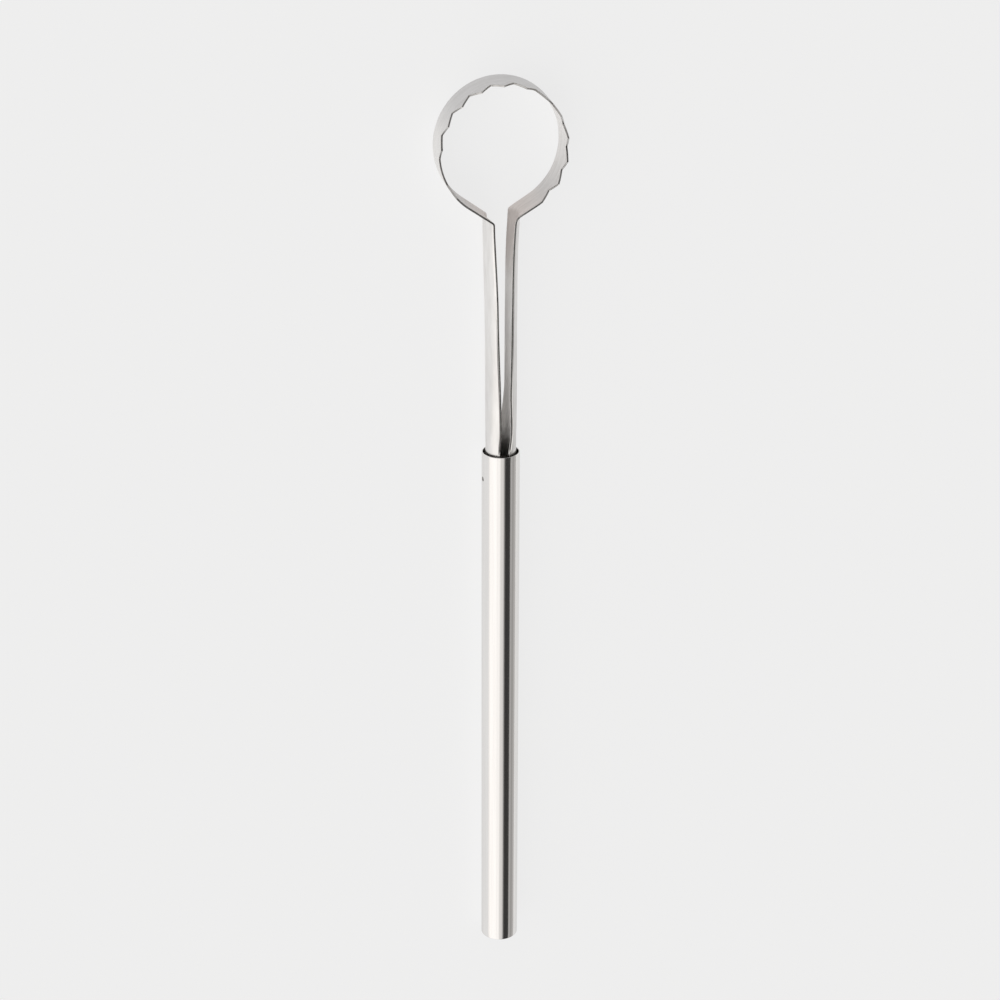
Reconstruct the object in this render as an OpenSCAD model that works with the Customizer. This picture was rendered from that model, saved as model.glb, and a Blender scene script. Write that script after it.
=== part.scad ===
// Serrated loop scraper: a loop of formed steel strip on a round tube handle.
// It lies as it would on a bench: smooth edge of the loop down, teeth up, loop towards -Y.

/* [Handle] */
// Outside diameter of the handle tube
tube_od = 10; // [9.7:0.1:12]
// Wall thickness of the handle tube
tube_wall = 0.5; // [0.4:0.05:0.5]
// Length of the handle tube
tube_len = 147.4; // [90:0.2:200]
// Radius that rounds the two ends of the tube
tube_round = 0.4; // [0.2:0.05:0.4]
// Thickness of the plug that closes the tube's end
plug_len = 6; // [3:0.5:15]

/* [Loop] */
// Radius of the loop, to the middle of the sheet
loop_r = 16.6; // [14:0.1:24]
// Thickness of the sheet
sheet = 0.5; // [0.4:0.05:0.6]
// Width of the strip, from its smooth edge to the tips of the teeth
strip_w = 10.6; // [10.2:0.1:11]
// Angle at which the strip leaves the arms, from square across the tool
ramp_angle = 35; // [25:1:45]
// Half of the gap between the arms where the strip bends outwards
neck_half_gap = 3.05; // [2.6:0.05:3.6]

/* [Teeth] */
// Number of V notches around the loop
notch_count = 12; // [4:1:12]
// Depth of each notch
tooth_h = 2.8; // [1.5:0.1:3.2]
// Angle of the first notch, from +X
first_notch = -4; // [-6:1:6]
// Angle between notches
notch_pitch = 20.45; // [18:0.05:20.45]
// Angle covered by the plain relief before the first notch
relief_angle = 25; // [10:1:28]

/* [Arms and shank] */
// Outside diameter of the shank inside the handle
shank_od = 8.9; // [8.6:0.05:8.95]
// Depth of the shank inside the handle
shank_depth = 28; // [18:1:40]
// Length of the arms above the handle's mouth
arm_len = 64.9; // [45:0.1:90]
// Radius of the arms' curved section at the bend, to the middle of the sheet
arm_top_r = 8.4; // [7:0.1:10]
// How far the arms' waist draws in
waist = 0.28; // [0:0.02:0.4]
// How far the notches between the arms reach down into the handle
notch_sunk = 1; // [0.5:0.1:3]

/* [Retaining pin] */
// Radius of the cross pin
pin_r = 0.6; // [0.4:0.05:1]
// Distance of the pin below the handle's mouth
pin_drop = 7.3; // [5:0.1:12]

/* [Hidden] */
$fn = 96;
steel = "silver";
bright_steel = "gainsboro";

// Places along the tool, measured from the plugged end of the handle.
bend_z = tube_len + arm_len;
ramp_run = (loop_r * sin(ramp_angle) - neck_half_gap) / cos(ramp_angle);
loop_z = bend_z + ramp_run * sin(ramp_angle) + loop_r * cos(ramp_angle);
tool_len = loop_z + loop_r + sheet / 2;
pin_z = tube_len - pin_drop;

// The shank: a tube that the two arms grow out of.
shank_r = shank_od / 2;
shank_mid_r = shank_r - sheet / 2;
arm_start = 5;
notch_reach = arm_start + notch_sunk;
slot_margin = 0.15;

// The arms: an arc across the strip, which opens from the shank's radius to arm_top_r.
arm_half_low = 4.85;
arm_half_top = 5.2;
arm_steps = 14;
arc_steps = 12;
arm_root = 0.5;
arm_overrun = 2;
arm_inset = 0.02;
ring_steps = 72;
relief_margin = 0.2;
relief_step = 0.1;
bulge_top = neck_half_gap + arm_top_r * (1 - cos(deg(arm_half_top / arm_top_r)));
slot_half = shank_mid_r * cos(deg(arm_half_low / shank_mid_r)) - slot_margin;
lip = 0.7 * sheet;

// Clearance of the pin's ends, flat left on the teeth, and the reach of a cutter past a face.
pin_recess = 0.05;
tip_flat = 0.2;
past = 1;

function deg(radians) = radians * 180 / PI;
function mix(a, b, t) = a + (b - a) * t;

// Section of an arm at t = 0 (top of the shank) to 1 (bend): radius, half width along the arc,
// bulge. It is a little thinner than the sheet, so its root lies wholly inside the shank's wall.
function arm_r(t) = mix(shank_mid_r, arm_top_r, t);
function arm_half(t) = mix(arm_half_low, arm_half_top, t);
function arm_bulge(t) = mix(shank_mid_r, bulge_top, t) - waist * sin(180 * min(t, 1));

// A point of the arm: u = -1 to 1 across the strip, side = 1 outer face, -1 inner face.
// Its root, at t under 0, keeps the section that it has at the top of the shank.
function arm_point(t, u, side) =
    let (
        s = max(t, 0),
        a = deg(u * arm_half(s) / arm_r(s)),
        r = arm_r(s) + side * (sheet / 2 - arm_inset)
    )
    [arm_bulge(s) - arm_r(s) + r * cos(a), r * sin(a), mix(tube_len + arm_start, bend_z, t)];

function arm_ring(t) = concat(
    [for (i = [0:arc_steps]) arm_point(t, 2 * i / arc_steps - 1, 1)],
    [for (i = [arc_steps:-1:0]) arm_point(t, 2 * i / arc_steps - 1, -1)]
);

// Local frame of the tool: +Z from the handle's end to the loop, +Y up, +X across.
module along_tool() {
    translate([0, tool_len / 2, strip_w / 2]) rotate([90, 0, 0]) children();
}

// A flat outline, drawn with the loop up, that becomes a strip of the loop standing on z = 0.
module strip_from_outline() {
    translate([0, tool_len / 2, 0]) mirror([0, 1, 0])
        linear_extrude(height = strip_w) children();
}

// A solid of revolution about the tool's axis with both ends rounded on the outside.
module rounded_rod(r, length, round_r) {
    rotate_extrude() difference() {
        union() {
            square([r - round_r, length]);
            translate([0, round_r]) square([r, length - 2 * round_r]);
            for (z = [round_r, length - round_r])
                translate([r - round_r, z]) circle(r = round_r, $fn = 32);
        }
        translate([-2 * r, -past]) square([2 * r, length + 2 * past]);
    }
}

module pin_hole() {
    translate([0, 0, pin_z]) rotate([0, 90, 0])
        cylinder(r = pin_r, h = tube_od + 2 * past, center = true);
}

// One face of the strip, seen from above: up a ramp, around the ring and down the other ramp.
// rise is its distance outwards from the middle of the sheet.
function strip_face(rise) =
    let (
        r = loop_r + rise,
        end_x = neck_half_gap - lip,
        end_z = loop_z - (r - end_x * sin(ramp_angle)) / cos(ramp_angle)
    )
    concat(
        [[end_x, end_z]],
        [for (i = [0:ring_steps])
            let (a = mix(ramp_angle - 90, 270 - ramp_angle, i / ring_steps))
            [r * cos(a), loop_z + r * sin(a)]],
        [[-end_x, end_z]]
    );

module strip_outline() {
    outer = strip_face(sheet / 2);
    inner = strip_face(-sheet / 2);
    polygon(concat(outer, [for (i = [len(inner) - 1:-1:0]) inner[i]]));
}

// One V notch, cut radially into the upper edge of the ring at an angle from +X.
module tooth_notch(angle) {
    half = loop_r * tan(notch_pitch / 2) - tip_flat / 2;
    rise = past / tooth_h;
    translate([0, tool_len / 2 - loop_z, strip_w - tooth_h]) mirror([0, 1, 0])
        rotate(angle) translate([loop_r - past, 0, 0]) rotate([90, 0, 90])
        linear_extrude(height = 2 * past) polygon([
            [0, 0],
            [half * (1 + rise), tooth_h + past],
            [-half * (1 + rise), tooth_h + past]
        ]);
}

// The plain stretch beside the first notch, cut down almost to the level of the notches.
module edge_relief() {
    reach = 2 * loop_r;
    from = first_notch - relief_margin;
    to = first_notch - relief_angle + relief_margin;
    translate([0, tool_len / 2 - loop_z, strip_w - tooth_h + relief_step]) mirror([0, 1, 0])
        linear_extrude(height = tooth_h + past) polygon([
            [0, 0],
            [reach * cos(to), reach * sin(to)],
            [reach * cos(from), reach * sin(from)]
        ]);
}

// The loop's strip: ring, two ramps, toothed upper edge.
module loop_strip() {
    difference() {
        strip_from_outline() strip_outline();
        for (i = [0:notch_count - 1]) tooth_notch(first_notch + i * notch_pitch);
        tooth_notch(first_notch - relief_angle);
        edge_relief();
    }
}

// One arm, along +X, ending under the plane of its ramp.
module arm() {
    first = -arm_root / arm_len;
    last = 1 + arm_overrun / arm_len;
    n = 2 * (arc_steps + 1);
    rings = [for (i = [0:arm_steps]) arm_ring(mix(first, last, i / arm_steps))];
    difference() {
        polyhedron(
            points = [for (r = rings) for (p = r) p],
            faces = concat(
                [[for (k = [0:n - 1]) k]],
                [for (i = [0:arm_steps - 1]) for (k = [0:n - 1])
                    [i * n + k, (i + 1) * n + k, (i + 1) * n + (k + 1) % n, i * n + (k + 1) % n]],
                [[for (k = [n - 1:-1:0]) arm_steps * n + k]]
            )
        );
        translate([neck_half_gap, 0, bend_z]) rotate([0, -ramp_angle, 0])
            translate([-strip_w, -strip_w, 0]) cube([3 * strip_w, 2 * strip_w, strip_w]);
    }
}

// Outline of the round-bottomed slot that parts the two arms at the top of the shank.
module slot_outline() {
    polygon(concat(
        [[slot_half, past], [-slot_half, past]],
        [for (a = [180:7.5:360]) [slot_half * cos(a), notch_reach * sin(a)]]
    ));
}

// The shank tube, slotted from front to back at its top.
module shank() {
    top = tube_len + arm_start;
    difference() {
        translate([0, 0, tube_len - shank_depth])
            cylinder(r = shank_r, h = shank_depth + arm_start);
        translate([0, 0, tube_len - shank_depth - past])
            cylinder(r = shank_r - sheet, h = shank_depth + arm_start + 2 * past);
        translate([0, shank_od, top]) rotate([90, 0, 0])
            linear_extrude(height = 2 * shank_od) slot_outline();
        pin_hole();
    }
}

module loop_head() {
    color(bright_steel) {
        loop_strip();
        along_tool() {
            shank();
            arm();
            mirror([1, 0, 0]) arm();
        }
    }
}

module handle_tube() {
    color(steel) along_tool() difference() {
        rounded_rod(tube_od / 2, tube_len, tube_round);
        translate([0, 0, -past]) cylinder(r = tube_od / 2 - tube_wall, h = tube_len + 2 * past);
        pin_hole();
    }
}

module end_plug() {
    color(steel) along_tool()
        rounded_rod(tube_od / 2 - tube_wall, plug_len, tube_round);
}

module retaining_pin() {
    color(bright_steel) along_tool() translate([0, 0, pin_z]) rotate([0, 90, 0])
        cylinder(r = pin_r, h = tube_od - 2 * pin_recess, center = true);
}

handle_tube();
end_plug();
loop_head();
retaining_pin();
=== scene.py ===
"""Looks of a serrated loop scraper: a loop of formed steel strip on a round tube handle.

The CAD frame gives where the handle, head, plug and pin are; sizes that a box can't give are stated below.
Each part gets a fine mesh and a steel of its own.
"""

import math

import bmesh
import bpy
from mathutils import Matrix, Vector


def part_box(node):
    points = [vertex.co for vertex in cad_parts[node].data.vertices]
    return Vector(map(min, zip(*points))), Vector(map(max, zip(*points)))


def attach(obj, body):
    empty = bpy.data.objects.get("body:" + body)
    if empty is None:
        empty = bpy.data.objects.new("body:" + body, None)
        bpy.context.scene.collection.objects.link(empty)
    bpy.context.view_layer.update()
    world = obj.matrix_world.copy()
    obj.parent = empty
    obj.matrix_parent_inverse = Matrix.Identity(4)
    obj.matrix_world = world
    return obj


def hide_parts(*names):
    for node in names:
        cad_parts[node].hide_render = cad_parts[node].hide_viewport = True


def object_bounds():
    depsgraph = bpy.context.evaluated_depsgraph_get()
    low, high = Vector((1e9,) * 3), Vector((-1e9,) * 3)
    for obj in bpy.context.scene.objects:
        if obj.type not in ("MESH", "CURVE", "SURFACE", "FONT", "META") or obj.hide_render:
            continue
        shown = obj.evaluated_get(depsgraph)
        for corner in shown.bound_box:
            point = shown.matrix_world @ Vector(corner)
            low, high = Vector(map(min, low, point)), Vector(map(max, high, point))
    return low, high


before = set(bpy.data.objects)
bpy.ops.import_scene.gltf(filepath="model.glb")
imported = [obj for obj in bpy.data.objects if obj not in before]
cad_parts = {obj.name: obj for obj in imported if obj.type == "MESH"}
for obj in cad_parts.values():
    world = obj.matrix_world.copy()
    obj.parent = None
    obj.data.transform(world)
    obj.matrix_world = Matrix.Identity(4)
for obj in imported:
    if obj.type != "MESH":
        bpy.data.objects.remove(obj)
cad_low, cad_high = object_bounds()

MM = 0.001

# ---------------------------------------------------------------- places from the CAD

tube_low, tube_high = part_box("handle_tube")
head_low, head_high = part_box("loop_head")
plug_low, plug_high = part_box("end_plug")
pin_low, pin_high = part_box("retaining_pin")

# In metres, in the row frame.
END_Y = tube_high.y
AXIS_Z = (tube_low.z + tube_high.z) / 2

# Lengths from here on are in millimetres, unless noted, and "along" is from the handle's plugged end.
TUBE_R = (tube_high.x - tube_low.x) / 2 / MM
TUBE_LEN = (tube_high.y - tube_low.y) / MM
BORE_R = (plug_high.x - plug_low.x) / 2 / MM
PLUG_LEN = (plug_high.y - plug_low.y) / MM
PIN_LEN = (pin_high.x - pin_low.x) / MM
PIN_R = (pin_high.z - pin_low.z) / 2 / MM
PIN_ALONG = (tube_high.y - (pin_low.y + pin_high.y) / 2) / MM
TOOL_LEN = (tube_high.y - head_low.y) / MM
STRIP_HALF = (head_high.z - head_low.z) / 2 / MM
SHANK_END = (tube_high.y - head_high.y) / MM

# ---------------------------------------------------------------- how true the head is

# The pin's own turn about the tool's axis.
TWIST_PIN = math.radians(-7)

# The head's turn about the tool's axis, from the notch between the arms to the ring. In a pair, 1 is
# the +X arm and -1 the -X arm. A RUN is the length over which a change eases in or out; BEFORE and
# AFTER are distances from the bend.
TWIST_NOTCH = math.radians(-2)
TWIST_NECK = {1: math.radians(-10.5), -1: math.radians(-8)}
TWIST_NECK_RUN = 6
TWIST_ARMS = {1: math.radians(-3), -1: math.radians(2.8)}
TWIST_ARMS_RUN = {1: 32, -1: 13}
TWIST_BENDS = {1: math.radians(2), -1: math.radians(3.3)}
TWIST_BENDS_BEFORE = 24
TWIST_BENDS_RUN = 26
TWIST_RING = math.radians(2)
TWIST_RING_AFTER = 2
TWIST_RING_RUN = 12

# From here on, by the bends and in the loop, the turn only moves the strip sideways.
STAY_LEVEL_BEFORE = 25
STAY_LEVEL_RUN = 20

# The -X arm is set inwards near its bend, and comes back out after it.
INWARDS = 0.2
INWARDS_BEFORE = 24
INWARDS_RUN = 20
INWARDS_AFTER = 10
INWARDS_OUT_RUN = 8

# How far the upper edge leans ahead of the strip's middle.
LEAN_BEND = 0.25
LEAN_RING = 0.1
LEAN_BEFORE = 12
LEAN_RUN = 10

# ---------------------------------------------------------------- sizes of the strip

SHEET = 0.5
RING_OFF = 0.12
RING_ACROSS = head_high.x / MM - SHEET / 2 - RING_OFF - STRIP_HALF * math.sin(TWIST_RING)
RING_LONG = 17.0
RING_ALONG = TOOL_LEN - SHEET / 2 - RING_LONG - LEAN_RING
NECK_HALF_GAP = 3.05
BEND_ALONG = 211.75
BEND_SKEW = 0.45

BORE_GAP = 0.05
SHANK_R = BORE_R - BORE_GAP - SHEET / 2
NECK_IN = 0.42
NECK_R = SHANK_R - NECK_IN
NECK_BELOW = 3
NECK_RUN = 4
SLOT_TOP = TUBE_LEN + 5
SLOT_BOTTOM = TUBE_LEN - 2.2
ARM_TOP_R = 8.4
ARM_HALF_LOW = 4.33
ARM_HALF_TOP = 5.2
WAIST = {1: 0.33, -1: 0.5}
WAIST_SKEW = {1: 1.0, -1: 1.8}
BEND_R = 0.9
BEND_FLARE = 1.6
BEND_ROOM = 1.5
BEND_STEPS = 12
RAMP_STEPS = 14
RING_STEPS = 288
ACROSS_STEPS = 24
WIDEN_BELOW = 4.0
WIDEN_BEYOND = 3.0

NOTCH_COUNT = 12
NOTCH_PITCH = math.radians(20.64)
FIRST_NOTCH = math.radians(-4.2)
RELIEF_END = math.radians(-29)
TOOTH_H = 2.8
TIP_ROUND = 0.12
TIP_TURN = TIP_ROUND / RING_LONG

# The cut edges: they have their full chamfer, and are level, this far past the notches' bottoms.
EDGE_CHAMFER = 0.07
CHAMFER_ABOVE = 1.5
LEVEL_ABOVE = 4.0

# The sheet is exactly radial up to this far below the top of the slot, and formed freely above it.
ROUND_BELOW = 2.0

# The step of the grain's map from one column across the strip to the next.
GRAIN_STEP = 0.44

# A lathe's point nearer to the axis than this is one point.
ON_AXIS = 1e-6

# The angle that is shaded as an edge, and the distances, in metres, within which points are welded.
SHARP_ANGLE = math.radians(32)
WELD_FINE = 1e-9
WELD = 1e-7


def mix(a, b, t):
    """The value at share t of the way from a to b."""
    return a + (b - a) * t


def smooth(t):
    """A share that starts and ends softly, and stays between 0 and 1."""
    t = min(1.0, max(0.0, t))
    return t * t * (3 - 2 * t)


def to_world(x, up, along):
    """A point of the tool, in mm from the plugged end of the handle, in the row frame in metres."""
    return Vector((x * MM, END_Y - along * MM, AXIS_Z + up * MM))


def twist_at(along, side):
    """How far the head is turned about the tool's axis; side 1 is the +X half."""
    neck = mix(TWIST_NOTCH, TWIST_NECK[side], smooth((along - TUBE_LEN) / TWIST_NECK_RUN))
    arm = mix(neck, TWIST_ARMS[side], smooth((along - SLOT_TOP) / TWIST_ARMS_RUN[side]))
    beside = smooth((along - BEND_ALONG + TWIST_BENDS_BEFORE) / TWIST_BENDS_RUN)
    bend = mix(arm, TWIST_BENDS[side], beside)
    return mix(bend, TWIST_RING, smooth((along - BEND_ALONG - TWIST_RING_AFTER) / TWIST_RING_RUN))


def lean_at(along):
    """How far the upper edge is ahead of the middle of the strip, most at the bends."""
    loop = mix(LEAN_BEND, LEAN_RING, smooth((along - BEND_ALONG) / LEAN_RUN))
    return loop * smooth((along - BEND_ALONG + LEAN_BEFORE) / LEAN_RUN)


def inwards_at(along):
    """How far the -X arm is set inwards."""
    comes = smooth((along - BEND_ALONG + INWARDS_BEFORE) / INWARDS_RUN)
    goes = smooth((BEND_ALONG + INWARDS_AFTER - along) / INWARDS_OUT_RUN)
    return INWARDS * comes * goes


def twisted(x, up, along):
    """A point of the head, turned as the head is there. At the loop it only leans, and stays level."""
    side = 1 if x >= 0 else -1
    a = twist_at(along, side)
    if side < 0:
        x += inwards_at(along)
    turned_up = up * math.cos(a) - x * math.sin(a)
    level = smooth((along - BEND_ALONG + STAY_LEVEL_BEFORE) / STAY_LEVEL_RUN)
    ahead = lean_at(along) * up / STRIP_HALF
    return x * math.cos(a) + up * math.sin(a), mix(turned_up, up, level), along + ahead


# ---------------------------------------------------------------- mesh building


def placed(name, data):
    """A new object of that mesh or camera, in the scene."""
    obj = bpy.data.objects.new(name, data)
    bpy.context.scene.collection.objects.link(obj)
    return obj


def mesh_object(name, points, faces, material, uvs, weld=0.0):
    """A shaded mesh object from points in metres. uvs holds one (u, v) for each point."""
    mesh = bpy.data.meshes.new(name)
    mesh.from_pydata(points, [], faces)
    layer = mesh.uv_layers.new(name="grain")
    for loop in mesh.loops:
        layer.data[loop.index].uv = uvs[loop.vertex_index]
    if weld:
        weld_points(mesh, weld)
    mesh.validate()
    mesh.polygons.foreach_set("use_smooth", [True] * len(mesh.polygons))
    mesh.set_sharp_from_angle(angle=SHARP_ANGLE)
    mesh.materials.append(material)
    return placed(name, mesh)


def weld_points(mesh, distance):
    """Joins points that lie within the distance, and turns all faces outwards."""
    work = bmesh.new()
    work.from_mesh(mesh)
    bmesh.ops.remove_doubles(work, verts=work.verts, dist=distance)
    bmesh.ops.recalc_face_normals(work, faces=work.faces)
    work.to_mesh(mesh)
    work.free()


def arc(centre, radius, start, end, steps):
    """Points of an arc in a lathe's profile, as (radius, along); angles in degrees."""
    cx, cy = centre
    angles = [math.radians(mix(start, end, i / steps)) for i in range(steps + 1)]
    return [(cx + radius * math.cos(a), cy + radius * math.sin(a)) for a in angles]


def lathe(name, profile, material, segments=256, closed=True):
    """Turns a profile of (radius, along) points about the tool's axis. A radius of 0 is one point."""
    points, uvs, rows = [], [], []
    for radius, along in profile:
        if radius < ON_AXIS:
            rows.append([len(points)] * segments)
            points.append(to_world(0, 0, along))
            uvs.append((0.0, along))
            continue
        rows.append(list(range(len(points), len(points) + segments)))
        for k in range(segments):
            a = 2 * math.pi * k / segments
            points.append(to_world(radius * math.cos(a), radius * math.sin(a), along))
            uvs.append((a * radius, along))
    pairs = list(zip(rows, rows[1:]))
    if closed:
        pairs.append((rows[-1], rows[0]))
    faces = []
    for low, high in pairs:
        for k in range(segments):
            n = (k + 1) % segments
            face = [low[k], high[k], high[n], low[n]]
            face = [p for i, p in enumerate(face) if p not in face[:i]]
            if len(face) > 2:
                faces.append(face)
    return mesh_object(name, points, faces, material, uvs, weld=WELD_FINE)


# ---------------------------------------------------------------- materials


def shader_graph(name):
    """A new material, its nodes, links and Principled shader."""
    material = bpy.data.materials.new(name)
    material.use_nodes = True
    nodes, links = material.node_tree.nodes, material.node_tree.links
    return material, nodes, links, nodes["Principled BSDF"]


def stretched_noise(nodes, links, scale, detail):
    """Noise in the row frame, with its own scale along X, Y and Z, in cells for each millimetre."""
    place = nodes.new("ShaderNodeTexCoord")
    stretch = nodes.new("ShaderNodeMapping")
    stretch.inputs["Scale"].default_value = [s / MM for s in scale]
    noise = nodes.new("ShaderNodeTexNoise")
    noise.inputs["Scale"].default_value = 1.0
    noise.inputs["Detail"].default_value = detail
    links.new(place.outputs["Object"], stretch.inputs["Vector"])
    links.new(stretch.outputs["Vector"], noise.inputs["Vector"])
    return noise.outputs["Fac"]


def ramp(nodes, links, factor, stops):
    """A colour ramp over factor. stops are (position, grey or colour)."""
    node = nodes.new("ShaderNodeValToRGB")
    elements = node.color_ramp.elements
    while len(elements) < len(stops):
        elements.new(0.5)
    for element, (position, colour) in zip(elements, stops):
        element.position = position
        if not hasattr(colour, "__len__"):
            colour = (colour,) * 3
        element.color = (*colour, 1.0)
    links.new(factor, node.inputs["Fac"])
    return node.outputs["Color"]


def map_range(nodes, links, value, start, end, low=0.0, high=1.0):
    """The value, mapped from start..end to low..high."""
    node = nodes.new("ShaderNodeMapRange")
    node.inputs["From Min"].default_value = start
    node.inputs["From Max"].default_value = end
    node.inputs["To Min"].default_value = low
    node.inputs["To Max"].default_value = high
    links.new(value, node.inputs["Value"])
    return node.outputs["Result"]


def multiplied(nodes, links, colour, by):
    """The colour multiplied by another colour or by a value."""
    node = nodes.new("ShaderNodeMix")
    node.data_type = "RGBA"
    node.blend_type = "MULTIPLY"
    node.inputs["Factor"].default_value = 1.0
    links.new(colour, node.inputs["A"])
    links.new(by, node.inputs["B"])
    return node.outputs["Result"]


def steel(name, dark, light, rough, grain, anisotropy, bump):
    """Worked stainless steel: hairlines along the grain, slow changes of tone and of polish."""
    slow_share = 0.12
    bump_depth = 0.02 * MM
    material, nodes, links, shader = shader_graph(name)
    shader.inputs["Metallic"].default_value = 1.0
    shader.inputs["Anisotropic"].default_value = anisotropy
    shader.inputs["Specular Tint"].default_value = (0.88, 0.88, 0.88, 1)
    slow = stretched_noise(nodes, links, [g * slow_share for g in grain], 3.0)
    links.new(ramp(nodes, links, slow, [(0.3, dark), (0.7, light)]), shader.inputs["Base Color"])
    hair = stretched_noise(nodes, links, grain, 4.0)
    polish = ramp(nodes, links, hair, [(0.25, rough[0]), (0.75, rough[1])])
    links.new(polish, shader.inputs["Roughness"])
    relief = nodes.new("ShaderNodeBump")
    relief.inputs["Strength"].default_value = bump
    relief.inputs["Distance"].default_value = bump_depth
    links.new(hair, relief.inputs["Height"])
    links.new(relief.outputs["Normal"], shader.inputs["Normal"])
    direction = nodes.new("ShaderNodeTangent")
    direction.direction_type = "UV_MAP"
    direction.uv_map = "grain"
    links.new(direction.outputs["Tangent"], shader.inputs["Tangent"])
    return material


def handle_steel():
    """The tube: drawn and mirror-polished."""
    return steel(
        "handle_steel",
        dark=(0.81, 0.795, 0.78),
        light=(0.86, 0.845, 0.83),
        rough=(0.08, 0.12),
        grain=(9.0, 0.15, 9.0),
        anisotropy=0.4,
        bump=0.06,
    )


def toned(material, stops):
    """Shades the base colour along the tool. stops are (mm from the plugged end, colour)."""
    nodes, links = material.node_tree.nodes, material.node_tree.links
    shader = nodes["Principled BSDF"]
    low, high = stops[0][0], stops[-1][0]
    place = nodes.new("ShaderNodeTexCoord")
    split = nodes.new("ShaderNodeSeparateXYZ")
    links.new(place.outputs["Object"], split.inputs[0])
    along = map_range(nodes, links, split.outputs["Y"], END_Y - low * MM, END_Y - high * MM)
    places = [((mm - low) / (high - low), colour) for mm, colour in stops]
    tone = ramp(nodes, links, along, places)
    plain = shader.inputs["Base Color"].links[0].from_socket
    links.new(multiplied(nodes, links, plain, tone), shader.inputs["Base Color"])
    return material


def strip_steel():
    """The outer face of the strip: polished with the handle. Its colour is a little darker just above the
    handle's mouth, and darker at the loop's far end as painted shade.
    """
    bright = steel(
        "strip_steel",
        dark=(0.84, 0.826, 0.81),
        light=(0.93, 0.918, 0.904),
        rough=(0.28, 0.36),
        grain=(2.0, 1.2, 8.0),
        anisotropy=0.75,
        bump=0.1,
    )
    # Painted shade: the loop's far end is darkened to stand for a darker reflection there.
    far_end_painted_shade = (0.79, 0.79, 0.8)
    # A little darker for 15 mm above the handle's mouth, easing back over the next 25 mm.
    mouth_darker_to = TUBE_LEN + 15
    stops = [(TUBE_LEN, 0.92), (mouth_darker_to, 0.92), (mouth_darker_to + 25, 1.0)]
    stops += [(234.0, 1.0), (242.0, far_end_painted_shade), (TOOL_LEN, far_end_painted_shade)]
    return toned(bright, stops)


def inner_steel():
    """The inner face of the strip: rolled only; its colour is browner and darker at the bends, and a
    little darker just past them.
    """
    rolled = steel(
        "inner_steel",
        dark=(0.84, 0.822, 0.806),
        light=(0.96, 0.945, 0.93),
        rough=(0.33, 0.43),
        grain=(2.0, 1.2, 8.0),
        anisotropy=0.75,
        bump=0.12,
    )
    # Browner and darker by the bends, and a little darker just past them.
    bend_tone = (0.80, 0.755, 0.735)
    past_bend_tone = (0.78, 0.772, 0.772)
    stops = [(TUBE_LEN, 1.0), (192.0, 1.0), (204.0, bend_tone), (214.0, bend_tone)]
    stops += [(218.0, past_bend_tone), (232.0, 0.98)]
    return toned(rolled, stops)


def cut_steel():
    """The sheared edge of the strip, darker and rougher than its faces."""
    return steel(
        "cut_steel",
        dark=(0.44, 0.43, 0.42),
        light=(0.62, 0.61, 0.60),
        rough=(0.16, 0.26),
        grain=(7.0, 7.0, 3.0),
        anisotropy=0.0,
        bump=0.3,
    )


def plug_steel():
    """The plug: turned, and duller than the tube."""
    return steel(
        "plug_steel",
        dark=(0.6, 0.595, 0.58),
        light=(0.68, 0.675, 0.66),
        rough=(0.22, 0.34),
        grain=(5.0, 1.0, 5.0),
        anisotropy=0.0,
        bump=0.2,
    )


def pin_steel():
    """The pin's ends: dark and rough."""
    return steel(
        "pin_steel",
        dark=(0.2, 0.195, 0.19),
        light=(0.34, 0.335, 0.33),
        rough=(0.35, 0.5),
        grain=(3.0, 3.0, 3.0),
        anisotropy=0.0,
        bump=0.4,
    )


# ---------------------------------------------------------------- handle, plug and pin


def handle_tube(material):
    """A drawn tube: its end is eased, and its mouth is rolled in a little, bevelled and rounded."""
    wall = TUBE_R - BORE_R
    ease, inner_ease = 0.3, 0.08
    roll_len, roll_in, bevel = 1.5, 0.05, 0.2
    lip = (wall - roll_in - bevel) / 2
    steps = 16
    outer = arc((TUBE_R - ease, ease), ease, -90, 0, 8)
    outer += [(TUBE_R, along) for along in (2, 20, 60, 100, TUBE_LEN - 12, TUBE_LEN - 2.5)]
    for i in range(steps + 1):
        t = i / steps
        outer.append((TUBE_R - roll_in * t * t, TUBE_LEN - lip - roll_len * (1 - t)))
    rim = arc((TUBE_R - roll_in - lip, TUBE_LEN - lip), lip, 0, 180, 14)[1:]
    inner = [
        (BORE_R, TUBE_LEN - roll_len),
        (BORE_R, TUBE_LEN - 20),
        (BORE_R, 60),
        (BORE_R, 2),
    ]
    start = arc((BORE_R + inner_ease, inner_ease), inner_ease, 180, 270, 4)
    return lathe("handle_tube_piece", outer + rim + inner + start, material)


def end_plug(material):
    """A turned plug with an eased edge, set a hair below the tube's end."""
    press_gap = 0.015
    radius = BORE_R - press_gap
    ease = 0.25
    recess = 0.06
    centre_r, centre_depth = 0.45, 0.25
    face = [(0, recess + centre_depth), (centre_r, recess)]
    face += [(r, recess) for r in (1.2, 2.2, 3.2)]
    face += arc((radius - ease, recess + ease), ease, -90, 0, 8)
    back = [(radius, PLUG_LEN - ease), (radius - ease, PLUG_LEN), (0, PLUG_LEN)]
    return lathe("end_plug_piece", face + back, material, segments=128, closed=False)


def pin_point(x, up, ahead):
    """A point of the cross pin in metres: the pin is turned a little about the tool's axis."""
    c, s = math.cos(TWIST_PIN), math.sin(TWIST_PIN)
    return to_world(x * c + up * s, up * c - x * s, PIN_ALONG + ahead)


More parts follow.
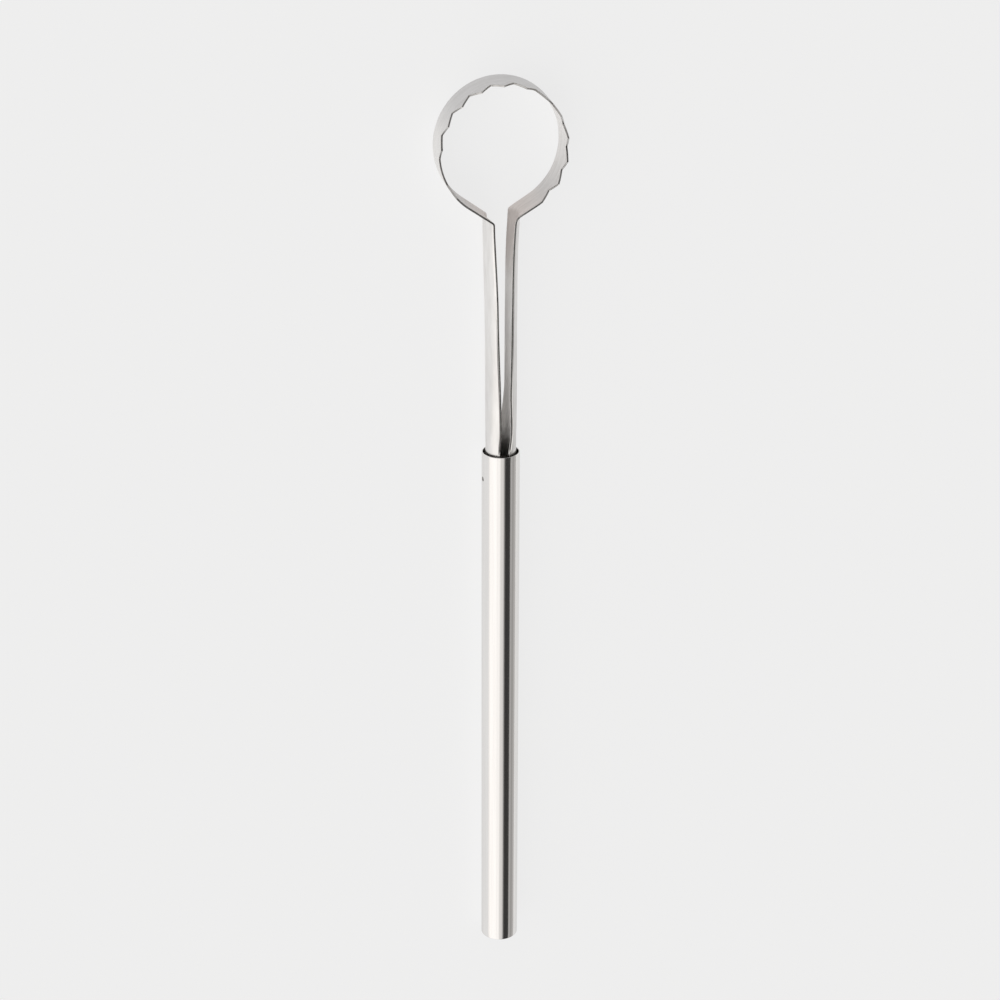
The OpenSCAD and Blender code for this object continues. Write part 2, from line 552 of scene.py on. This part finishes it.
def retaining_pin(material):
    """A cross pin with lightly domed ends, a hair under the tube's surface."""
    hole_gap, sunk = 0.06, 0.05
    radius = PIN_R - hole_gap
    half = PIN_LEN / 2 - sunk
    dome = 0.12
    turns = [math.radians(degrees) for degrees in range(0, 91, 10)]
    profile = [(radius * math.sin(a), half - dome + dome * math.cos(a)) for a in turns]
    profile += [(r, -x) for r, x in reversed(profile)]
    segments = 48
    points, faces, rows = [], [], []
    for r, x in profile:
        rows.append(list(range(len(points), len(points) + segments)))
        for k in range(segments):
            a = 2 * math.pi * k / segments
            points.append(pin_point(x, r * math.cos(a), r * math.sin(a)))
    for low, high in zip(rows, rows[1:]):
        for k in range(segments):
            n = (k + 1) % segments
            faces.append([low[k], low[n], high[n], high[k]])
    uvs = [(p.y / MM, p.z / MM) for p in points]
    return mesh_object("retaining_pin_piece", points, faces, material, uvs, weld=WELD)


def pin_cutter():
    """A plain rod that cuts the pin's hole; it is removed after use."""
    segments = 64
    past = 1
    reach = TUBE_R + past
    points = []
    for x in (-reach, reach):
        for k in range(segments):
            a = 2 * math.pi * k / segments
            points.append(pin_point(x, PIN_R * math.cos(a), PIN_R * math.sin(a)))
    faces = []
    for k in range(segments):
        n = (k + 1) % segments
        faces.append([k, n, segments + n, segments + k])
    faces.append(list(range(segments))[::-1])
    faces.append(list(range(segments, 2 * segments)))
    mesh = bpy.data.meshes.new("pin_cutter")
    mesh.from_pydata(points, [], faces)
    weld_points(mesh, WELD_FINE)
    return placed("pin_cutter", mesh)


def drill(obj, cutter):
    """Cuts the cutter's shape out of obj's mesh."""
    cut = obj.modifiers.new("pin_hole", "BOOLEAN")
    cut.object = cutter
    cut.operation = "DIFFERENCE"
    cut.solver = "EXACT"
    bpy.context.view_layer.update()
    graph = bpy.context.evaluated_depsgraph_get()
    result = bpy.data.meshes.new_from_object(obj.evaluated_get(graph))
    obj.modifiers.remove(cut)
    old = obj.data
    obj.data = result
    bpy.data.meshes.remove(old)
    obj.data.set_sharp_from_angle(angle=SHARP_ANGLE)


# ---------------------------------------------------------------- the loop's strip


def tooth_drop(theta):
    """How far the upper edge lies under the tips, at an angle round the loop from +X."""
    step = (theta - FIRST_NOTCH) / NOTCH_PITCH
    last = NOTCH_COUNT - 1
    if RELIEF_END <= theta <= FIRST_NOTCH:
        return TOOTH_H
    if theta < RELIEF_END:
        away = (RELIEF_END - theta) / NOTCH_PITCH
    elif step > last:
        away = step - last
    else:
        away = abs(step - round(step))
    return TOOTH_H * max(0.0, 1 - 2 * away)


def eased_drop(theta):
    """The drop with its tips and valleys rounded a little."""
    return (tooth_drop(theta - TIP_TURN) + 2 * tooth_drop(theta) + tooth_drop(theta + TIP_TURN)) / 4


def ring_point(theta):
    """A point of the ring's mid line, which is slightly oval, as (x, along)."""
    return Vector((RING_OFF + RING_ACROSS * math.cos(theta), RING_ALONG + RING_LONG * math.sin(theta)))


def ramp_meets_ring(side):
    """The angle at which the ramp from the bend at that side (1 is +X) runs into the ring."""
    x = (side * NECK_HALF_GAP - RING_OFF) / RING_ACROSS
    y = (bend_along(side) - RING_ALONG) / RING_LONG
    turn = math.acos(1 / math.hypot(x, y))
    return math.atan2(y, x) + side * turn


def bend_along(side):
    """Where that side's bend is: the -X one is a little further out."""
    return BEND_ALONG - side * BEND_SKEW


def ring_angles():
    """Angles of the loop's stations: even steps, with extra ones at each tip and valley."""
    start = ramp_meets_ring(1)
    end = ramp_meets_ring(-1) + 2 * math.pi
    angles = [mix(start, end, i / RING_STEPS) for i in range(RING_STEPS + 1)]
    half = NOTCH_PITCH / 2
    corners = [FIRST_NOTCH + half * i for i in range(2 * NOTCH_COUNT)]
    corners += [RELIEF_END, RELIEF_END - half]
    corners = [c for c in corners if start + 2 * TIP_TURN < c < end - 2 * TIP_TURN]
    clear = 1.2 * TIP_TURN
    angles = [a for a in angles if all(abs(a - c) > clear for c in corners)]
    for c in corners:
        angles += [c - TIP_TURN, c, c + TIP_TURN]
    return sorted(angles)


def neck_radius(along):
    """The shank's mid radius, which draws in a little at the handle's mouth."""
    return mix(SHANK_R, NECK_R, smooth((along - SLOT_BOTTOM + NECK_BELOW) / NECK_RUN))


def arm_section(along, u, side):
    """The arm's mid surface at u = -1 to 1 across it: (distance from the axis plane, up)."""
    t = (along - SLOT_TOP) / (BEND_ALONG - SLOT_TOP)
    if t <= 0:
        r = neck_radius(along)
        slot_half_top = r * math.cos(ARM_HALF_LOW / NECK_R)
        depth = (SLOT_TOP - along) / (SLOT_TOP - SLOT_BOTTOM)
        slot_half = slot_half_top * math.sqrt(max(0.0, 1 - depth * depth))
        a = u * math.acos(slot_half / r)
        return r * math.cos(a), r * math.sin(a)
    radius = mix(NECK_R, ARM_TOP_R, t)
    half = mix(ARM_HALF_LOW, ARM_HALF_TOP, t)
    bulge_top = NECK_HALF_GAP + ARM_TOP_R * (1 - math.cos(ARM_HALF_TOP / ARM_TOP_R))
    drawn_in = WAIST[side] * math.sin(math.pi * min(t, 1.0) ** WAIST_SKEW[side])
    bulge = mix(NECK_R, bulge_top, t) - drawn_in
    a = u * half / radius
    return bulge - radius + radius * math.cos(a), radius * math.sin(a)


def arm_stations():
    """Places along the arm, from the notch's bottom up to where the fillets of the bend begin."""
    notch_steps, arm_steps = 40, 90
    reach = SLOT_TOP - SLOT_BOTTOM
    low = [SLOT_TOP - reach * math.cos(math.pi / 2 * i / notch_steps) for i in range(notch_steps)]
    top = BEND_ALONG - BEND_SKEW - BEND_ROOM
    return low + [mix(SLOT_TOP, top, i / arm_steps) for i in range(arm_steps + 1)]


def widened(station, columns, corner_x, bend):
    """The station with its width opened from the arm's curve to the full strip through the bend."""
    opened = []
    for u, (x, up, along), corner in zip(columns, station, corner_x):
        travel = min(along, bend) - (bend - WIDEN_BELOW) + max(0.0, x - corner)
        share = smooth(travel / (WIDEN_BELOW + WIDEN_BEYOND))
        opened.append((x, mix(up, u * STRIP_HALF, share), along))
    return opened


def bend_radius(side, u):
    """The radius of the bend, which flares towards the upper edge at the -X side."""
    return BEND_R + (BEND_FLARE * (u + 1) / 2 if side < 0 else 0)


def half_strip(columns, side):
    """Stations of one half of the strip, from the notch's bottom to the ring's start.

    Each station is a list of (distance out, up, along), one for each column across the strip.
    """
    bend = bend_along(side)
    meet = ring_point(ramp_meets_ring(side))
    ramp_end = Vector((meet.x * side, meet.y))
    ramp_start = Vector((NECK_HALF_GAP, bend))
    outward = (ramp_end - ramp_start).normalized()
    turn = math.pi / 2 - math.atan2(outward.y, outward.x)
    corner_x = [arm_section(bend, u, side)[0] for u in columns]
    stations = [[(*arm_section(along, u, side), along) for u in columns] for along in arm_stations()]
    bend_rows = [[] for _ in range(BEND_STEPS + 1)]
    ramp_rows = [[] for _ in range(RAMP_STEPS)]
    for u, x in zip(columns, corner_x):
        corner = ramp_start + outward * ((x - NECK_HALF_GAP) / outward.x)
        up = arm_section(bend, u, side)[1]
        tangent = bend_radius(side, u) * math.tan(turn / 2)
        below = Vector((arm_section(bend - tangent, u, side)[0], corner.y - tangent))
        beyond = corner + outward * tangent
        for i, row in enumerate(bend_rows):
            t = i / BEND_STEPS
            p = below * (1 - t) ** 2 + corner * 2 * t * (1 - t) + beyond * t * t
            row.append((p.x, up, p.y))
        for i, row in enumerate(ramp_rows):
            p = beyond.lerp(ramp_end, (i + 1) / (RAMP_STEPS + 1))
            row.append((p.x, up, p.y))
    stations += bend_rows + ramp_rows
    return [widened(station, columns, corner_x, bend) for station in stations]


def loop_head(materials):
    """The head: one strip from the shank up an arm, round the toothed loop and down the other arm."""
    columns = [2 * j / ACROSS_STEPS - 1 for j in range(ACROSS_STEPS + 1)]
    ring = []
    for theta in ring_angles():
        top = STRIP_HALF - eased_drop(theta)
        x, along = ring_point(theta)
        ring.append([(x, mix(-STRIP_HALF, top, (u + 1) / 2), along) for u in columns])
    back = reversed(half_strip(columns, -1))
    left = [[(-x, up, along) for x, up, along in station] for station in back]
    stations = half_strip(columns, 1) + ring + left
    stations = [[twisted(*p) for p in station] for station in stations]
    return strip_mesh("loop_head_piece", stations, materials)


def grid_normals(stations):
    """Unit normals of the mid surface, pointing out of the loop, by differences across the grid."""
    rows, cols = len(stations), len(stations[0])
    points = [[Vector(p) for p in station] for station in stations]
    normals = []
    for i in range(rows):
        before, after = points[max(i - 1, 0)], points[min(i + 1, rows - 1)]
        row = []
        for j in range(cols):
            j0, j1 = max(j - 1, 0), min(j + 1, cols - 1)
            along = after[j] - before[j]
            width = points[i][j1] - points[i][j0]
            row.append(width.cross(along).normalized())
        normals.append(row)
    return points, normals


def from_axis(point):
    """The direction from the tool's axis to a point of the head."""
    return Vector((point.x, point.y, 0)).normalized()


def levelled(normal, share):
    """The normal turned towards level, so that the cut edge beside it faces straight up or down."""
    return Vector((normal.x, normal.y * (1 - share), normal.z)).normalized()


def lengths_run(points):
    """The length of the strip's middle up to each station."""
    middle = len(points[0]) // 2
    run, runs = 0.0, []
    for i, row in enumerate(points):
        if i:
            run += (row[middle] - points[i - 1][middle]).length
        runs.append(run)
    return runs


def station_normals(row, normals, flat):
    """A station's normals: radial on the shank, so that its halves meet, and level at the cut edges."""
    formed = smooth((row[len(row) // 2].z - SLOT_TOP + ROUND_BELOW) / ROUND_BELOW)
    mended = [from_axis(q).lerp(n, formed).normalized() for q, n in zip(row, normals)]
    return [levelled(mended[0], flat)] + mended[1:-1] + [levelled(mended[-1], flat)]


def sheet_ring(row, normals, run, verts, uvs):
    """Adds the closed ring of points around the sheet at a station, and gives their numbers."""
    cols = len(row)
    half = SHEET / 2
    near_notch = min(row[0].z, row[-1].z) - SLOT_BOTTOM
    chamfer = EDGE_CHAMFER * smooth(near_notch / CHAMFER_ABOVE)
    flat = smooth(near_notch / LEVEL_ABOVE)
    normal = station_normals(row, normals, flat)
    low_side = (row[0] - row[1]).normalized().lerp(Vector((0, -1, 0)), flat)
    high_side = (row[-1] - row[-2]).normalized().lerp(Vector((0, 1, 0)), flat)

    def add(p, u):
        """Adds one point of the tool, held inside the strip's width, and gives its number."""
        up = min(STRIP_HALF, max(-STRIP_HALF, p[1]))
        verts.append(to_world(p[0], up, p[2]))
        uvs.append((u, run))
        return len(verts) - 1

    outer, inner = [], []
    for j in range(cols):
        inset = Vector((0, 0, 0))
        if j == 0:
            inset = -low_side * chamfer
        if j == cols - 1:
            inset = -high_side * chamfer
        outer.append(add(row[j] + inset + normal[j] * half, j * GRAIN_STEP))
        inner.append(add(row[j] + inset - normal[j] * half, j * GRAIN_STEP))
    top_out = add(row[-1] + normal[-1] * (half - chamfer), cols * GRAIN_STEP)
    top_in = add(row[-1] - normal[-1] * (half - chamfer), cols * GRAIN_STEP + half)
    low_in = add(row[0] - normal[0] * (half - chamfer), -half)
    low_out = add(row[0] + normal[0] * (half - chamfer), 0)
    return outer + [top_out, top_in] + inner[::-1] + [low_in, low_out]


def ring_faces(rings, cols):
    """The faces between rings: those of the strip's outer face, inner face and cut edges."""
    outer_faces, inner_faces, edge_faces = [], [], []
    count = len(rings[0])
    for low, high in zip(rings, rings[1:]):
        for k in range(count):
            n = (k + 1) % count
            face = [low[k], low[n], high[n], high[k]]
            if k < cols - 1:
                outer_faces.append(face)
            elif cols + 1 < k < 2 * cols + 1:
                inner_faces.append(face)
            else:
                edge_faces.append(face)
    return outer_faces, inner_faces, edge_faces


def strip_mesh(name, stations, materials):
    """A sheet of even thickness about the stations' mid surface, with chamfered edges.

    materials are those of its outer face, its inner face and its cut edges.
    """
    points, normals = grid_normals(stations)
    cols = len(stations[0])
    verts, uvs, rings = [], [], []
    for row, normal, run in zip(points, normals, lengths_run(points)):
        rings.append(sheet_ring(row, normal, run, verts, uvs))
    outer_faces, inner_faces, edge_faces = ring_faces(rings, cols)
    shank_outer, shank_inner = shank_faces(verts, uvs, rings, cols)
    outer_faces += shank_outer
    inner_faces += shank_inner
    obj = mesh_object(name, verts, outer_faces + inner_faces + edge_faces, materials[0], uvs)
    obj.data.materials.append(materials[1])
    obj.data.materials.append(materials[2])
    for polygon in obj.data.polygons:
        beyond_outer = polygon.index >= len(outer_faces)
        beyond_inner = polygon.index >= len(outer_faces) + len(inner_faces)
        polygon.material_index = beyond_outer + beyond_inner
    weld_points(obj.data, WELD)
    obj.data.set_sharp_from_angle(angle=SHARP_ANGLE)
    return obj


def shank_faces(verts, uvs, rings, cols):
    """The round shank under the notches, carried down from the first and last station.

    Gives the faces of its outer and of its inner side.
    """
    neck_step, pin_room, end_room = 0.5, 1.5, 8
    neck = [SLOT_BOTTOM - neck_step * i for i in range(7)]
    levels = neck + [PIN_ALONG + pin_room, PIN_ALONG - pin_room, SHANK_END + end_room, SHANK_END]
    outer_faces, inner_faces = [], []
    for ring in (rings[0], rings[-1]):
        ends = []
        outer, inner = ring[:cols], ring[cols + 2:2 * cols + 2]
        for row, faces in ((outer, outer_faces), (inner, inner_faces)):
            columns = row
            for above, level in zip(levels, levels[1:]):
                grown = neck_radius(level) - neck_radius(above)
                lower = []
                for k in columns:
                    p = verts[k].copy()
                    out = Vector((p.x, 0, p.z - AXIS_Z)).normalized()
                    p += out * grown * MM
                    p.y = END_Y - level * MM
                    verts.append(p)
                    uvs.append((uvs[k][0], level))
                    lower.append(len(verts) - 1)
                for j in range(cols - 1):
                    faces.append([columns[j], columns[j + 1], lower[j + 1], lower[j]])
                columns = lower
            ends.append(columns)
        outer_end, inner_end = ends[0], ends[1][::-1]
        for j in range(cols - 1):
            inner_faces.append([outer_end[j], outer_end[j + 1], inner_end[j + 1], inner_end[j]])
    return outer_faces, inner_faces


# ---------------------------------------------------------------- studio


# The studio's brightness, as (degrees about the tool's axis, level).
STUDIO_BANDS = [
    (-100, 0.50),
    (-80, 0.50),
    (-72, 0.38),
    (-66, 0.34),
    (-56, 0.46),
    (-50, 0.48),
    (-45, 0.05),
    (-18, 0.04),
    (-12, 0.12),
    (-7, 0.50),
    (-2, 0.78),
    (12, 0.82),
    (20, 1.16),
    (30, 1.08),
    (40, 1.20),
    (76, 1.20),
    (88, 0.98),
    (100, 0.82),
]


def studio_world():
    """A studio of two long soft boxes beside a dark gap, all along the tool; plain pale to the eye."""
    world = bpy.data.worlds.new("studio")
    bpy.context.scene.world = world
    world.use_nodes = True
    nodes, links = world.node_tree.nodes, world.node_tree.links
    background = nodes["Background"]
    place = nodes.new("ShaderNodeTexCoord")
    split = nodes.new("ShaderNodeSeparateXYZ")
    links.new(place.outputs["Generated"], split.inputs[0])
    turn = nodes.new("ShaderNodeMath")
    turn.operation = "ARCTAN2"
    links.new(split.outputs["X"], turn.inputs[0])
    links.new(split.outputs["Z"], turn.inputs[1])
    share = map_range(nodes, links, turn.outputs[0], -math.pi, math.pi)
    warm = (1.0, 0.978, 0.958)
    stops = [((angle + 180) / 360, [level * part for part in warm]) for angle, level in STUDIO_BANDS]
    colour = ramp(nodes, links, share, stops)
    aside = map_range(nodes, links, split.outputs["Y"], -0.25, 0.1, 0.55, 1.0)
    lit = multiplied(nodes, links, colour, aside)
    path = nodes.new("ShaderNodeLightPath")
    seen = nodes.new("ShaderNodeMix")
    seen.data_type = "RGBA"
    seen.inputs["B"].default_value = (0.84, 0.84, 0.84, 1)
    links.new(path.outputs["Is Camera Ray"], seen.inputs["Factor"])
    links.new(lit, seen.inputs["A"])
    links.new(seen.outputs["Result"], background.inputs["Color"])


def floor():
    """A plain pale floor that glows a little, as a light table does, so shadows stay faint."""
    size = 3.0
    corners = [(-size, -size), (size, -size), (size, size), (-size, size)]
    points = [(x, y, cad_low.z) for x, y in corners]
    mesh = bpy.data.meshes.new("floor")
    mesh.from_pydata(points, [], [(0, 1, 2, 3)])
    obj = placed("floor", mesh)
    material, _, _, shader = shader_graph("floor_paper")
    shader.inputs["Base Color"].default_value = (0.15, 0.15, 0.15, 1)
    shader.inputs["Roughness"].default_value = 1.0
    shader.inputs["Specular IOR Level"].default_value = 0.0
    shader.inputs["Emission Color"].default_value = (1, 1, 1, 1)
    shader.inputs["Emission Strength"].default_value = 0.778
    mesh.materials.append(material)


def camera():
    """The photograph's view: over the tool's axis and a little to its +X side, loop upwards."""
    swing, lean, roll = math.radians(14.263), math.radians(24.475), math.radians(0.19)
    distance, lens = 0.76238, 104.38
    aim_x, aim_along = 0.00015, 0.13329
    aim = Vector((aim_x, END_Y - aim_along, AXIS_Z))
    level = math.cos(lean)
    back = Vector((math.sin(swing) * level, -math.sin(lean), math.cos(swing) * level))
    side = Vector((-math.cos(swing), 0, math.sin(swing)))
    over = back.cross(side)
    right = side * math.cos(roll) + over * math.sin(roll)
    up = over * math.cos(roll) - side * math.sin(roll)
    data = bpy.data.cameras.new("camera")
    data.sensor_width = 36
    data.lens = lens
    data.clip_start, data.clip_end = 0.01, 20
    obj = placed("camera", data)
    turn = Matrix((right, up, back)).transposed().to_4x4()
    obj.matrix_world = Matrix.Translation(aim + back * distance) @ turn
    bpy.context.scene.camera = obj


# ---------------------------------------------------------------- the scene

bpy.context.scene.view_settings.view_transform = "Standard"
camera()
studio_world()
floor()

handle = handle_tube(handle_steel())
plug = end_plug(plug_steel())
pin = retaining_pin(pin_steel())
head = loop_head([strip_steel(), inner_steel(), cut_steel()])

cutter = pin_cutter()
drill(handle, cutter)
drill(head, cutter)
bpy.data.objects.remove(cutter)

for piece, node, slot in (
    (handle, "handle_tube", "handle_steel"),
    (plug, "end_plug", "plug_steel"),
    (head, "loop_head", "strip_steel"),
    (pin, "retaining_pin", "pin_steel"),
):
    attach(piece, "root")
    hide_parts(node)
